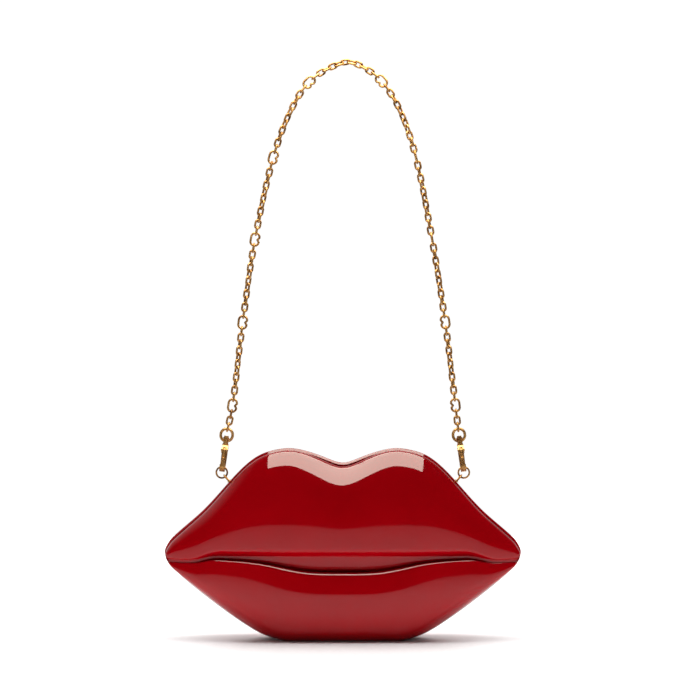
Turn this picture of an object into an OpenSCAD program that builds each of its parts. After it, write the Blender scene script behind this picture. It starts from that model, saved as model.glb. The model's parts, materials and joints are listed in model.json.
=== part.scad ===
// Hard-shell evening clutch in the shape of a pair of lips, with a chain strap.
// Two moulded half shells are hinged along the base and held shut by magnets.
// Millimetres. +X to the right, +Y to the back, +Z up, origin under the middle of the base.

/* [Case] */
// Width of the case from corner to corner
case_w = 280; // [250:1:310]
// Height of the case at the two peaks of the upper lip
case_h = 149; // [135:1:165]
// Depth of a half shell at the fullest part of the lower lip
lower_depth = 27; // [23:0.5:32]
// Depth of a half shell at the fullest part of the upper lip
upper_depth = 26; // [22:0.5:31]
// Depth of a half shell just inside the corners
corner_depth = 8.5; // [8:0.5:12]
// Wall thickness of the half shells
wall = 3; // [2.5:0.1:4]
// Width of the flat side wall that stands square to the parting plane
rim_wall = 7; // [6.5:0.1:7.8]
// Radius of the rounded edge between the side wall and the upper lip
rim_round = 2; // [1:0.1:2.4]
// Depth of the base under each half shell, its rounded edge included
base_depth = 14.5; // [14.5:0.5:18]
// Radius of the rounded edge round the base
base_round = 1; // [0.5:0.1:1.4]
// How far the back shell's rim stands out past the front shell
rim_proud = 1.4; // [0.6:0.1:2.2]
// Gap between the two half shells when shut
parting_gap = 0.3; // [0.2:0.05:0.6]

/* [Lips] */
// Height of the crease under the upper lip
crease_h = 65.1; // [58:0.1:70]
// How far the crease falls towards the corners
crease_fall = 2; // [0:0.1:4]
// Widest gap between the lips, at the middle
mouth_gap = 13.5; // [9:0.5:16]
// Gap between the lips near the corners
line_gap = 1.2; // [0.8:0.1:2]
// Distance from the middle at which the mouth gap has halved
mouth_half = 52; // [44:1:60]
// Height over which the upper lip rolls under to the crease
roll_h = 6.1; // [4:0.1:8]
// The same near the corners
roll_least = 1.2; // [0.8:0.1:2]
// Angle through which the upper lip rolls under
roll_turn = 70; // [50:1:80]
// How far the upper lip draws back between its fullest part and the roll
lip_slack = 0.7; // [0:0.1:1.5]
// How far the mouth's floor slopes back below the crease
mouth_slope = 2; // [0.5:0.1:3]
// How far the lower lip draws back between its fullest part and its top edge
edge_drop = 1.6; // [1:0.1:2.4]
// Radius of the lower lip's top edge
edge_round = 2.2; // [1:0.1:3]
// Radius of the fillet behind the lower lip's top edge
ledge_fillet = 1.5; // [0.5:0.1:2.5]

/* [Lining] */
// Thickness of the lining
lining_t = 1; // [0.8:0.1:1.6]
// Gap between shell and lining
lining_gap = 0.3; // [0.2:0.05:0.5]
// How far the lining's edge lies behind the parting plane
lining_setback = 0.8; // [0.4:0.1:1.5]

/* [Hinge] */
// Length of the hinge
hinge_len = 60; // [40:1:80]
// Number of knuckles, odd
knuckles = 5; // [3:2:7]
// Diameter of the hinge barrel
barrel_d = 3.2; // [3:0.1:3.6]
// Height of the hinge pin above the base
hinge_h = 2; // [1.9:0.1:2.4]
// Diameter of the hinge pin
hinge_pin_d = 1.5; // [1.2:0.1:1.8]
// Thickness of a hinge leaf
leaf_t = 0.9; // [0.6:0.1:1.2]
// Width of a hinge leaf from the pin
leaf_w = 11; // [9:0.5:13]
// Diameter of a rivet's shank
rivet_d = 1.9; // [1.6:0.1:2.2]
// Diameter of a rivet's head
rivet_head_d = 3.6; // [3:0.1:4.2]
// Distance between neighbouring rivets
rivet_pitch = 22; // [14:1:26]

/* [Magnets] */
// Diameter of a magnet
magnet_d = 8; // [6:0.5:10]
// Thickness of a magnet
magnet_t = 2; // [1.5:0.1:3]
// Width of the block that holds a magnet
holder_w = 14; // [12:0.5:18]
// Height of the block that holds a magnet
holder_h = 14; // [12:0.5:18]
// Depth of the block that holds a magnet
holder_d = 7; // [5:0.5:9]

/* [Strap fittings] */
// Distance of each lug from the middle of the case
lug_x = 89; // [80:0.5:96]
// Lean of the lugs up from the horizontal
lug_lean = 50; // [42:1:60]
// Distance of the lugs behind the parting plane
lug_y = 4; // [3.5:0.1:5]
// Distance from the shell to the middle of a lug's eye
lug_reach = 3.8; // [3.6:0.1:6]
// Inner diameter of a lug's eye
lug_eye_d = 4.6; // [4.4:0.1:5.2]
// Wire thickness of a lug
lug_wire = 1.1; // [0.9:0.1:1.4]
// Shank diameter of a lug
lug_shank_d = 1.8; // [1.5:0.1:2.2]
// Outer diameter of a jump ring
jump_d = 10; // [9.2:0.1:11]
// Wire thickness of a jump ring
jump_wire = 1.4; // [1:0.1:1.6]

/* [Snap hooks] */
// Lean of the snap hooks inwards from the vertical
hook_lean = 7.5; // [4:0.5:12]
// Width of a hook's bow from front to back
bow_w = 10.4; // [9.4:0.1:12]
// Width of the metal round the bow
bow_rim = 2; // [1.8:0.1:2.4]
// Thickness of a hook's body at its top
hook_top_t = 4.8; // [4.6:0.1:5.6]
// Thickness of a hook's body at its foot
hook_foot_t = 4.2; // [3:0.1:4.6]
// Length of a hook's body
hook_len = 21; // [20:0.5:24]
// Height of the lever's pin above the foot of the hook
pivot_h = 17.4; // [16.6:0.1:17.8]
// Diameter of the lever's pin
lever_pin_d = 1.2; // [1:0.1:1.4]
// Width of the lever
lever_w = 1.5; // [1.2:0.1:1.7]
// Width of the eye that takes the chain
eye_w = 11.5; // [10.5:0.1:13]
// Height of the eye that takes the chain
eye_h = 12; // [11.8:0.1:15]
// Wire thickness of the eye
eye_wire = 2.2; // [1.7:0.1:2.4]
// Diameter of the swivel post
post_d = 2.2; // [1.8:0.1:2.4]
// Diameter of the swivel collar
collar_d = 4.8; // [4.4:0.1:5.4]
// Height of the swivel collar
collar_h = 6; // [4.6:0.1:6.6]

/* [Chain] */
// Length of a plain link
link_l = 8.1; // [7.8:0.1:8.6]
// Width of a plain link
link_w = 5.5; // [5.3:0.1:6]
// Wire thickness of a plain link
link_wire = 1.4; // [1.2:0.1:1.5]
// Length of a notched link
notch_l = 11.5; // [10.8:0.1:12.4]
// Width of a notched link
notch_w = 8; // [7.4:0.1:8.8]
// Wire thickness of a notched link
notch_wire = 1.5; // [1.3:0.1:1.6]
// Depth of the notch in a notched link
notch_dip = 1.3; // [0.8:0.1:1.6]
// Number of notched links
notch_count = 10; // [10:1:10]
// Plain links between two notched links
run_count = 11; // [9:2:13]
// Plain links between a snap hook and its nearest notched link
end_count = 3; // [3:2:5]
// Play between neighbouring links
link_play = 0.1; // [0.08:0.01:0.15]

/* [Hidden] */

RED = "#a3000f";
GOLD = "#c8924a";
DARK_GOLD = "#8a6234";
LINING = "#2a1518";
STEEL = "#b8b8b8";

WIRE_FN = 36;
ROUND_FN = 48;
fit = 0.05;
clear = 0.3;
half = case_w / 2;
mid_h = case_h / 2;

// ---------- outline of the lips ----------

// Upper outline: distance from the middle as a share of half the width, height as a share
TOP = [[0, 0.923], [0.07, 0.940], [0.14, 0.966], [0.22, 0.989], [0.30, 1.0], [0.38, 0.991],
  [0.47, 0.962], [0.57, 0.889], [0.67, 0.787], [0.78, 0.675], [0.90, 0.576], [1, 0.491]];
// Lower outline, flat under the base
BOTTOM = [[0, 0], [0.32, 0], [0.40, 0.014], [0.47, 0.036], [0.56, 0.083], [0.67, 0.154],
  [0.80, 0.246], [0.90, 0.323], [1, 0.411]];
// Height of the corners as a share of the case's height
TIP = 0.45;
// Length over which the corners are rounded
tip_round = 6;

// Slope of a smooth curve through points at point i
function slope_at(p, i) = i == 0 ? 0 : i == len(p) - 1 ? (p[i].y - p[i - 1].y) / (p[i].x - p[i - 1].x)
  : (p[i + 1].y - p[i - 1].y) / (p[i + 1].x - p[i - 1].x);
// Height at x of the smooth curve through points
function curve_at(p, x) =
  let (i = max([for (k = [0:len(p) - 2]) if (p[k].x <= x || k == 0) k]))
  let (h = p[i + 1].x - p[i].x, t = (x - p[i].x) / h)
  (2 * t ^ 3 - 3 * t ^ 2 + 1) * p[i].y + (t ^ 3 - 2 * t ^ 2 + t) * h * slope_at(p, i)
  + (3 * t ^ 2 - 2 * t ^ 3) * p[i + 1].y + (t ^ 3 - t ^ 2) * h * slope_at(p, i + 1);
// Smooth step from 0 at a to 1 at b
function ease(a, b, x) = let (t = min(1, max(0, (x - a) / (b - a)))) t * t * (3 - 2 * t);
// How much of the outline's height is left near a corner
function tip_share(u) = let (a = 1 - tip_round / half)
  u <= a ? 1 : sqrt(max(0, 1 - ((u - a) / (1 - a)) ^ 2));
// Upper and lower outline at the share u of the half width
function top_z(u, grow) = TIP * case_h + ((curve_at(TOP, u) - TIP) * case_h + grow) * tip_share(u);
function bottom_z(u) = TIP * case_h - (TIP - max(0, curve_at(BOTTOM, u))) * case_h * tip_share(u);

// ---------- relief of the lips ----------

// Share of the mouth's opening that is left at u
function mouth_share(u) = 1 / (1 + (u * half / mouth_half) ^ 4);
// Share of the fold between the lips that is left at u
function fold(u) = 1 - ease(0.5, 0.82, u);
// Height of the crease under the upper lip at u
function crease_z(u, grow) = let (low = bottom_z(u), high = top_z(u, grow))
  max(crease_h - crease_fall * ease(0.7, 0.86, u), low + 0.2 * (high - low));
// Height of the ledge behind the lower lip at u, on an inner skin sunk by sink, less at the corners
function ledge_z(u, grow, sink) = let (c = crease_z(u, grow), low = bottom_z(u))
  c - min(line_gap + (mouth_gap - line_gap) * mouth_share(u), 0.4 * (c - low)) - sink * (1 - u ^ 8);
// Plan shape: depth of the fullest point at u for a lip of the given depth
function plan(u, depth) = corner_depth + (depth - corner_depth) * (1 - min(1, u) ^ 2.2) ^ 0.62;
// 1 under the base, 0 out along the lower lip
function under_base(u) = 1 - ease(0.28, 0.56, u);
// Depth of the side wall along the lower outline and the radius of its edge
function low_rim(u) = rim_wall + (base_depth - rim_wall) * under_base(u);
function low_round(u) = rim_round + (base_round - rim_round) * under_base(u);
// Crowned profile from 1 at t = 0 to 0 at t = 1, ever steeper
function crown(t) = 1 - t ^ 2.6;
// Quarter round from 0 at t = 0 or less to 1 at t = 1
function turned(t) = 1 - sqrt(1 - min(1, max(0, t)) ^ 2);
// Share of the upper lip's height at which it is fullest
FULL_UP = 0.33;
// The same for the lower lip, at its middle and towards the corners
FULL_LOW = 0.67;
FULL_LOW_SIDE = 0.5;
function fullest(u) = FULL_LOW - (FULL_LOW - FULL_LOW_SIDE) * ease(0.25, 0.7, u);
// Depth of the upper lip, a from 0 at the crease to 1 at the outline, span its height at u
function upper_y(u, a, span) = let (full = plan(u, upper_depth))
  a >= FULL_UP
  ? let (edge = rim_round * turned(1 - (1 - a) * span / rim_round))
    rim_wall + (full - rim_wall) * crown((a - FULL_UP) / (1 - FULL_UP)) - edge
  : let (s = 1 - a / FULL_UP, roll = min(roll_least + (roll_h - roll_least) * fold(u), 0.6 * FULL_UP * span))
    let (q = max(0, 1 - a * span / roll) * sin(roll_turn))
    full - lip_slack * (0.3 + 0.7 * fold(u)) * s * s - roll / sin(roll_turn) * (1 - sqrt(1 - q * q));
// Least rise of the lower lip over its side wall, at the corners
least_rise = 0.4;
// How far the lower lip draws back above its fullest part
function lip_drop(u) = edge_drop * (0.4 + 0.6 * mouth_share(u));
// Depth of the lower lip's face, c from 0 at the outline to 1 where its top edge starts to turn
function lower_y(u, c, span) = let (full = plan(u, lower_depth), rim = low_rim(u), most = fullest(u))
  c <= most
  ? rim + max(least_rise, full - rim) * crown(1 - c / most) - low_round(u) * turned(1 - c * span / low_round(u))
  : max(full, rim + least_rise) - lip_drop(u) * ((c - most) / (1 - most)) ^ 1.8;

// Depth of the mouth's floor at the crease and at the ledge, and depth of the lip in front of it
function mouth_back(u, grow) = upper_y(u, 0, top_z(u, grow) - crease_z(u, grow));
function mouth_deep(u, grow) = mouth_back(u, grow) - mouth_slope * mouth_share(u);
function mouth_front(u, grow, sink) = lower_y(u, 1, ledge_z(u, grow, sink) - bottom_z(u));
// Radii of the lower lip's top edge and of the fillet behind it, limited by the mouth's gap and depth
function limited(r, share, u, grow, sink) = let (gap = crease_z(u, grow) - ledge_z(u, grow, sink))
  min(r, share * gap, share * (mouth_front(u, grow, sink) - mouth_deep(u, grow)));
function edge_r(u, grow, sink) = limited(edge_round, 0.5, u, grow, sink);
function fillet_r(u, grow, sink) = limited(ledge_fillet, 0.3, u, grow, sink);
// Lean of the lower lip's face where its top edge starts to turn
function edge_lean(u, rise) = atan2(1.8 * lip_drop(u), (1 - fullest(u)) * rise);
// Depth and height on the turned edge, t from 0 at the face to 1 on the ledge
function on_edge(u, grow, sink, t) = let (r = edge_r(u, grow, sink), z = ledge_z(u, grow, sink))
  let (first = edge_lean(u, z - r - bottom_z(u)), turn = first + (90 - first) * t)
  [mouth_front(u, grow, sink) - r * (cos(first) - cos(turn)), z - r * (1 - sin(turn))];
// Depth and height on the fillet behind the ledge, t from 0 on the ledge to 1 on the mouth's floor
function on_fillet(u, grow, sink, t) = let (r = fillet_r(u, grow, sink), z = ledge_z(u, grow, sink))
  let (deep = mouth_deep(u, grow), lean = atan2(mouth_back(u, grow) - deep, crease_z(u, grow) - z))
  let (turn = t * (90 - lean))
  [deep + r * (1 - sin(turn)), z + r * (1 - cos(turn))];

// ---------- mesh of a half shell ----------

cols = 40;
LOWER_ROWS = 6;
EDGE_ROWS = 2;
FILLET_ROWS = 2;
UPPER_ROWS = 8;
MOUTH_ROWS = EDGE_ROWS + FILLET_ROWS + 1;
rows = LOWER_ROWS + MOUTH_ROWS + UPPER_ROWS;
// Shares of the half width at which the columns stand, closer towards the corners
function col_u(i) = let (s = 2 * i / cols - 1) sign(s) * (1 - (1 - abs(s)) ^ 1.35);
function wave(k, n) = (1 - cos(180 * k / n)) / 2;
// Depth and height of row j of the mouth at u, from the turned edge to just under the crease
function mouth_point(u, j, grow, sink) = j <= EDGE_ROWS ? on_edge(u, grow, sink, j / EDGE_ROWS)
  : on_fillet(u, grow, sink, (j - EDGE_ROWS - 1) / (FILLET_ROWS - 1));
// Point of the relief for column i and row j, the ledge sunk by sink
function relief(i, j, grow, sink) = let (s = col_u(i), u = abs(s), x = s * (half + grow))
  j <= LOWER_ROWS
  ? let (c = wave(j, LOWER_ROWS), low = bottom_z(u), span = on_edge(u, grow, sink, 0).y - low)
    [x, lower_y(u, c, span), low + c * span]
  : j < LOWER_ROWS + MOUTH_ROWS
  ? let (p = mouth_point(u, j - LOWER_ROWS, grow, sink))
    [x, p.x, p.y]
  : let (a = wave(j - LOWER_ROWS - MOUTH_ROWS, UPPER_ROWS), low = crease_z(u, grow))
    let (span = top_z(u, grow) - low)
    [x, upper_y(u, a, span), low + a * span];
// Corner point of the relief, s = -1 left, 1 right
function corner(s, grow) = [s * (half + grow), rim_wall - rim_round, TIP * case_h];
// The same point moved in through the wall by w
function inset(p, w) = [p.x * (half - w) / half, p.y * (lower_depth - w) / lower_depth,
  mid_h + (p.z - mid_h) * (mid_h - w) / mid_h];
// How far an inner skin's ledge is sunk, as a share of the skin's depth, to keep the wall's thickness
SINK = 1.2;
// All points of one skin of the shell, w under the outside
function skin(grow, w) = [inset(corner(-1, grow), w),
  for (i = [1:cols - 1], j = [0:rows]) inset(relief(i, j, grow, SINK * w), w),
  inset(corner(1, grow), w)];
SKIN = 2 + (cols - 1) * (rows + 1);
function at(i, j) = i == 0 ? 0 : i == cols ? SKIN - 1 : 1 + (i - 1) * (rows + 1) + j;
// Indices of a skin's border, clockwise seen from the front
BORDER = concat([for (i = [0:cols]) at(i, rows)], [for (i = [cols - 1:-1:1]) at(i, 0)]);
LOOP = len(BORDER);
// A skin's border laid flat at depth y and moved in by w, with more taken off under the base
function flat_border(points, y, w, base_y, base_w) = [for (k = [0:LOOP - 1])
  let (p = points[BORDER[k]], under = (k > cols ? 1 - ease(0.4, 0.56, abs(p.x) / half) : 0))
  let (q = inset(p, w + (base_w - w) * under)) [q.x, y + (base_y - y) * under, q.z]];
function skin_faces(base, flip) = [for (i = [0:cols - 1], j = [0:rows - 1])
  let (a = base + at(i, j), b = base + at(i + 1, j), c = base + at(i + 1, j + 1), d = base + at(i, j + 1))
  each [if (b != c) flip ? [a, b, c] : [a, c, b], if (a != d) flip ? [a, c, d] : [a, d, c]]];
// Faces between two loops of points, given by their index lists
function strip(p, q) = [for (k = [0:LOOP - 1]) let (n = (k + 1) % LOOP)
  each [[p[k], q[k], q[n]], [p[k], q[n], p[n]]]];
function run_of(base) = [for (k = [0:LOOP - 1]) base + k];
function border_of(base) = [for (k = BORDER) base + k];

// A half shell or lining that opens towards the parting plane, its outside turned to the front.
// grow widens the outline, out and in are the depths of the two skins under the outside,
// face is the depth of its flat edge, and bevel and drop break that edge outside.
module half_shell(grow, out, in, face, bevel, drop) {
  outer = skin(grow, out);
  inner = skin(grow, in);
  side = flat_border(outer, face + drop, 0, face + max(drop, hinge_groove * sign(drop)), 0);
  edge = flat_border(outer, face, bevel, face, max(bevel, hinge_h * sign(drop)));
  mouth = flat_border(inner, face, 0, face, 0);
  points = concat(outer, side, edge, mouth, inner);
  faces = concat(skin_faces(0, false), strip(border_of(0), run_of(SKIN)),
    strip(run_of(SKIN), run_of(SKIN + LOOP)), strip(run_of(SKIN + LOOP), run_of(SKIN + 2 * LOOP)),
    strip(run_of(SKIN + 2 * LOOP), border_of(SKIN + 3 * LOOP)), skin_faces(SKIN + 3 * LOOP, true));
  polyhedron(points = [for (p = points) [p.x, -p.y, p.z]], faces = faces, convexity = 10);
}

// Depth of the groove under the hinge, which lets the front shell swing down
hinge_groove = 1.3;
edge_bevel = 0.9;
edge_drop_y = 0.45;
face_y = parting_gap / 2;

// ---------- hinge ----------

slot_w = barrel_d / 2 + 0.5;
leaf_z = wall + fit;
rivet_y = leaf_w * 0.66;
rivet_hole_d = rivet_d + 2 * fit;
knuckle_l = hinge_len / knuckles;

// Places of the rivets along the hinge
module at_rivets() for (x = [-rivet_pitch, 0, rivet_pitch]) translate([x, -rivet_y, 0]) children();
// What the hinge takes out of a front half shell
module hinge_cuts() {
  translate([-hinge_len / 2 - 0.5, -slot_w, -1]) cube([hinge_len + 1, slot_w + 1, wall + leaf_t + 2]);
  at_rivets() translate([0, 0, -1]) cylinder(d = rivet_hole_d, h = wall + 2, $fn = ROUND_FN);
}
// A leaf in front of the pin, with every other knuckle from the given one
module leaf(first) {
  difference() {
    union() {
      translate([-hinge_len / 2, -leaf_w, leaf_z]) cube([hinge_len, leaf_w - slot_w, leaf_t]);
      for (k = [first:2:knuckles - 1]) translate([-hinge_len / 2 + k * knuckle_l + 0.1, 0, hinge_h]) {
        rotate([0, 90, 0]) cylinder(d = barrel_d, h = knuckle_l - 0.2, $fn = ROUND_FN);
        translate([0, -slot_w - 0.5, leaf_z - hinge_h]) cube([knuckle_l - 0.2, slot_w + 0.5, leaf_t * 0.6]);
      }
    }
    translate([-hinge_len, 0, hinge_h]) rotate([0, 90, 0])
      cylinder(d = hinge_pin_d + 2 * fit, h = 2 * hinge_len, $fn = ROUND_FN);
    at_rivets() cylinder(d = rivet_hole_d, h = leaf_z + leaf_t + 1, $fn = ROUND_FN);
  }
}
// Rivets through a front leaf and the shell's floor
module rivets() {
  top = leaf_z + leaf_t + 0.02;
  at_rivets() rotate_extrude($fn = ROUND_FN)
    polygon([[0, 0.2], [rivet_d / 2, 0.2], [rivet_d / 2, top], [rivet_head_d / 2, top],
      [rivet_head_d / 2 - 0.2, top + 0.4], [rivet_head_d / 4, top + 0.75], [0, top + 0.85]]);
}

// ---------- magnets ----------

// Height of the inner wall at the middle of the upper lip
bow_z = mid_h + (top_z(0, -rim_proud) - mid_h) * (mid_h - wall) / mid_h;
holder_top = bow_z - clear;
// Depth of the flat inside of the side wall, where the block's top ends
holder_shoulder = (rim_wall - rim_round) * (lower_depth - wall) / lower_depth;
holder_low = holder_top - holder_h;
magnet_z = holder_top - holder_h / 2;
// Block under the upper lip's wall, in front of the parting plane
module magnet_holder() {
  difference() {
    translate([-holder_w / 2, 0, 0]) rotate([90, 0, 90]) linear_extrude(holder_w)
      polygon([[-face_y, holder_low], [-face_y, holder_top], [-holder_shoulder, holder_top],
        [-holder_d, holder_top - 1.8], [-holder_d, holder_low + 3], [-holder_d + 3, holder_low]]);
    translate([0, -face_y - magnet_t - fit, magnet_z]) rotate([-90, 0, 0])
      cylinder(d = magnet_d + 2 * fit, h = magnet_t + 1, $fn = ROUND_FN);
  }
}
module magnet() {
  translate([0, -face_y - magnet_t, magnet_z]) rotate([-90, 0, 0])
    cylinder(d = magnet_d, h = magnet_t, $fn = ROUND_FN);
}
// What the hinge, the magnet block and the lug nuts take out of a front lining
module lining_cuts() {
  translate([-hinge_len / 2 - 1, -leaf_w - 1, 0]) cube([hinge_len + 2, leaf_w + 2, wall + leaf_t + 3]);
  translate([-holder_w / 2 - clear, -holder_d - clear, holder_low - clear])
    cube([holder_w + 2 * clear, holder_d + 2 * clear, case_h]);
}

// ---------- lugs and jump rings ----------

// Foot of the left lug on the back shell's outline
lug_z = top_z(lug_x / half, 0);
lug_along = [-cos(lug_lean), 0, sin(lug_lean)];
lug_foot = [-lug_x, lug_y, lug_z];
// Room between the jump ring and the top of the lug's eye, for the strap's swing
swing_room = 0.4;
// Distance from the foot to the jump ring's wire inside the eye
ring_wire_reach = lug_reach + lug_eye_d / 2 - jump_wire / 2 - swing_room;
jump_r = (jump_d - jump_wire) / 2;
swing_point = lug_foot + ring_wire_reach * lug_along;
jump_centre = swing_point + jump_r * lug_along;
nut_t = 1.4;
nut_af = 3.6;
lug_tail = wall / cos(lug_lean - 43) + 1.5 * clear + nut_t + 0.4;

// Places children that stand up from the left lug's foot
module at_lug() translate(lug_foot) rotate([0, lug_lean - 90, 0]) children();
module wire_ring(r, wire) rotate_extrude($fn = ROUND_FN) translate([r, 0]) circle(d = wire, $fn = WIRE_FN);
// Screw eye whose eye stands square to the case's outline
module lug() {
  at_lug() {
    translate([0, 0, lug_reach]) rotate([0, 90, 0]) wire_ring((lug_eye_d + lug_wire) / 2, lug_wire);
    translate([0, 0, -lug_tail])
      cylinder(d = lug_shank_d, h = lug_tail + lug_reach - lug_eye_d / 2 - 0.3, $fn = WIRE_FN);
    translate([0, 0, clear]) cylinder(d = lug_shank_d + 1.4, h = 0.6, $fn = WIRE_FN);
  }
}
module lug_hole() at_lug() translate([0, 0, -lug_tail])
  cylinder(d = lug_shank_d + 2 * fit, h = 2 * lug_tail, $fn = WIRE_FN);
module lug_nut() {
  at_lug() translate([0, 0, -lug_tail + 0.4]) difference() {
    cylinder(d = nut_af / cos(30), h = nut_t, $fn = 6);
    translate([0, 0, -1]) cylinder(d = lug_shank_d + 2 * fit, h = nut_t + 2, $fn = WIRE_FN);
  }
}
module nut_pocket() at_lug() translate([0, 0, -lug_tail - 1])
  cylinder(d = nut_af + 2.4, h = lug_tail, $fn = WIRE_FN);
module jump_ring() translate(jump_centre) rotate([90, 0, 0]) wire_ring(jump_r, jump_wire);

// ---------- snap hooks ----------

hook_up = [sin(hook_lean), 0, cos(hook_lean)];
// How far the jump ring curves down across the hook's foot, and room for the swivel
ring_sag = hook_foot_t ^ 2 / (8 * jump_r);
swivel_room = 0.16;
// Height of the jump ring's wire above the foot of the hook
ring_in_hook = bow_rim + clear + ring_sag + swivel_room + jump_wire / 2;
hook_foot = jump_centre + (jump_r - ring_in_hook) * hook_up;
bow_r = bow_w / 2;
bow_hole_r = bow_r - bow_rim;
pivot_y = -bow_r + bow_rim / 2 + 0.9;
slot_t = lever_w + 1.2;
eye_r = (eye_w - eye_wire) / 2;
eye_straight = eye_h - eye_w;
collar_z = hook_len + 0.15;
// Height of the middle of the eye above the foot of the hook
eye_z = collar_z + collar_h / 2 + eye_r + eye_straight / 2;
post_top = collar_z + collar_h + 0.1;
post_head = 1.1;
band_h = 0.9;

// Places children that stand up from the left hook's foot
module at_hook() translate(hook_foot) rotate([0, hook_lean, 0]) children();
// Side view of the hook: a bow under a shoulder, seen along X
module hook_side() {
  gate_low = bow_r + 0.9;
  difference() {
    union() {
      translate([0, bow_r]) circle(r = bow_r, $fn = ROUND_FN);
      translate([-bow_r, bow_r]) square([bow_w, pivot_h - bow_r - 0.4]);
      polygon([[-bow_r, pivot_h - 0.5], [bow_r, pivot_h - 0.5], [bow_r, pivot_h + 0.8],
        [collar_d / 2, hook_len], [-collar_d / 2, hook_len], [-bow_r, pivot_h + 0.8]]);
    }
    translate([0, bow_r]) circle(r = bow_hole_r, $fn = ROUND_FN);
    translate([-bow_hole_r, bow_r]) square([2 * bow_hole_r, pivot_h - bow_r - 2.4]);
    translate([-bow_r - 1, gate_low]) square([bow_rim + 1.5, pivot_h - gate_low - 2.4]);
  }
}
// Front view of the hook, tapering to its foot
module hook_front() polygon([[-hook_foot_t / 2, -1], [hook_foot_t / 2, -1], [hook_foot_t / 2, 1],
  [hook_top_t / 2, hook_len - 2.5], [hook_top_t / 2, hook_len + 1], [-hook_top_t / 2, hook_len + 1],
  [-hook_top_t / 2, hook_len - 2.5], [-hook_foot_t / 2, 1]]);
module hook() {
  at_hook() {
    difference() {
      intersection() {
        translate([-hook_top_t, 0, 0]) rotate([90, 0, 90]) linear_extrude(2 * hook_top_t) hook_side();
        translate([0, bow_w, 0]) rotate([90, 0, 0]) linear_extrude(2 * bow_w) hook_front();
      }
      // slot for the lever's head
      translate([-slot_t / 2, -bow_r - 1, pivot_h - 3]) cube([slot_t, bow_r + 1 + pivot_y + 2.3, 5.2]);
      translate([-hook_top_t, pivot_y, pivot_h]) rotate([0, 90, 0])
        cylinder(d = lever_pin_d + 2 * fit, h = 2 * hook_top_t, $fn = WIRE_FN);
    }
    translate([0, 0, hook_len - 0.5]) cylinder(d = post_d, h = post_top + 1 - hook_len, $fn = WIRE_FN);
    translate([0, 0, post_top]) cylinder(d = post_d + 1.4, h = post_head, $fn = WIRE_FN);
  }
}
// Sprung gate that closes the bow, with a thumb rib
module lever() {
  gate_t = bow_rim - 0.5;
  gate_y = -bow_r + 0.3;
  gate_low = bow_r + 0.9 + 0.3;
  at_hook() difference() {
    union() {
      translate([-lever_w / 2, 0, 0]) rotate([90, 0, 90]) linear_extrude(lever_w) union() {
        translate([pivot_y, pivot_h]) circle(r = 1.4, $fn = WIRE_FN);
        polygon([[gate_y, gate_low], [gate_y + gate_t, gate_low], [gate_y + gate_t, pivot_h - 2.2],
          [pivot_y + 1.3, pivot_h - 0.4], [pivot_y - 0.4, pivot_h + 0.9], [gate_y, pivot_h + 0.4]]);
        polygon([[gate_y + 0.4, gate_low + 3], [gate_y - 1.9, gate_low + 4.2],
          [gate_y - 1.9, gate_low + 5.2], [gate_y + 0.4, gate_low + 6]]);
      }
      translate([-lever_w / 2 - 0.5, gate_y, gate_low]) cube([lever_w + 1, gate_t, pivot_h - gate_low - 3.4]);
    }
    translate([-lever_w, pivot_y, pivot_h]) rotate([0, 90, 0])
      cylinder(d = lever_pin_d + 2 * fit, h = 2 * lever_w, $fn = WIRE_FN);
  }
}
module lever_pin() {
  at_hook() translate([-hook_top_t / 2 - 0.4, pivot_y, pivot_h]) rotate([0, 90, 0]) {
    cylinder(d = lever_pin_d, h = hook_top_t + 0.8, $fn = WIRE_FN);
    for (x = [0, hook_top_t + 0.45]) translate([0, 0, x])
      cylinder(d = lever_pin_d + 0.7, h = 0.35, $fn = WIRE_FN);
  }
}
// Small closed coil round the pin beside the lever
module lever_spring() {
  spring_wire = (slot_t - lever_w) / 2 - 0.2;
  coil_r = lever_pin_d / 2 + 0.08 + spring_wire / 2;
  at_hook() translate([lever_w / 2 + 0.1 + spring_wire / 2, pivot_y, pivot_h]) rotate([0, 90, 0])
    wire_ring(coil_r, spring_wire);
}
// Oval ring with three bands on the collar that turns round the post
module swivel_eye() {
  at_hook() difference() {
    union() {
      for (s = [-1, 1]) {
        translate([0, 0, eye_z + s * eye_straight / 2]) rotate([s * 90, 0, 0])
          rotate_extrude(angle = 180, $fn = ROUND_FN) translate([eye_r, 0]) circle(d = eye_wire, $fn = WIRE_FN);
        translate([s * eye_r, 0, eye_z - eye_straight / 2])
          cylinder(d = eye_wire, h = eye_straight, $fn = WIRE_FN);
      }
      translate([0, 0, collar_z]) cylinder(d = collar_d - 0.7, h = collar_h, $fn = WIRE_FN);
      for (k = [0:2]) translate([0, 0, collar_z + k * (collar_h - band_h) / 2])
        cylinder(d = collar_d, h = band_h, $fn = WIRE_FN);
    }
    translate([0, 0, collar_z - 1]) cylinder(d = post_d + 2 * fit, h = collar_h + 2, $fn = WIRE_FN);
    translate([0, 0, collar_z + collar_h]) cylinder(d = post_d + 2, h = post_head + 0.6, $fn = WIRE_FN);
  }
}

// ---------- chain ----------

// Middle line of the strap between the two hooks, held up in a loop: distance from the middle
// as a share of lug_x, height above the first link
ROUTE = [[-0.966, 23.6], [-0.876, 90.6], [-0.764, 157.6], [-0.596, 223.6], [-0.416, 263.6], [-0.247, 283.1],
  [-0.034, 293.6], [0.09, 294.6], [0.258, 286.6], [0.371, 276.6], [0.517, 253.6], [0.652, 215.6],
  [0.787, 152.6], [0.899, 88.6], [0.989, 22.6]];
link_count = notch_count + (notch_count - 1) * run_count + 2 * end_count;
// A plain link's wire lies this far past the point where it meets the next
half_cross = (link_wire + link_play) / 2;
function is_notched(k) =
  (k - end_count) % (run_count + 1) == 0 && k >= end_count && k < link_count - end_count;
function link_pitch(k) = (is_notched(k) ? notch_l - notch_wire : link_l - link_wire) - 2 * half_cross;
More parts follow.
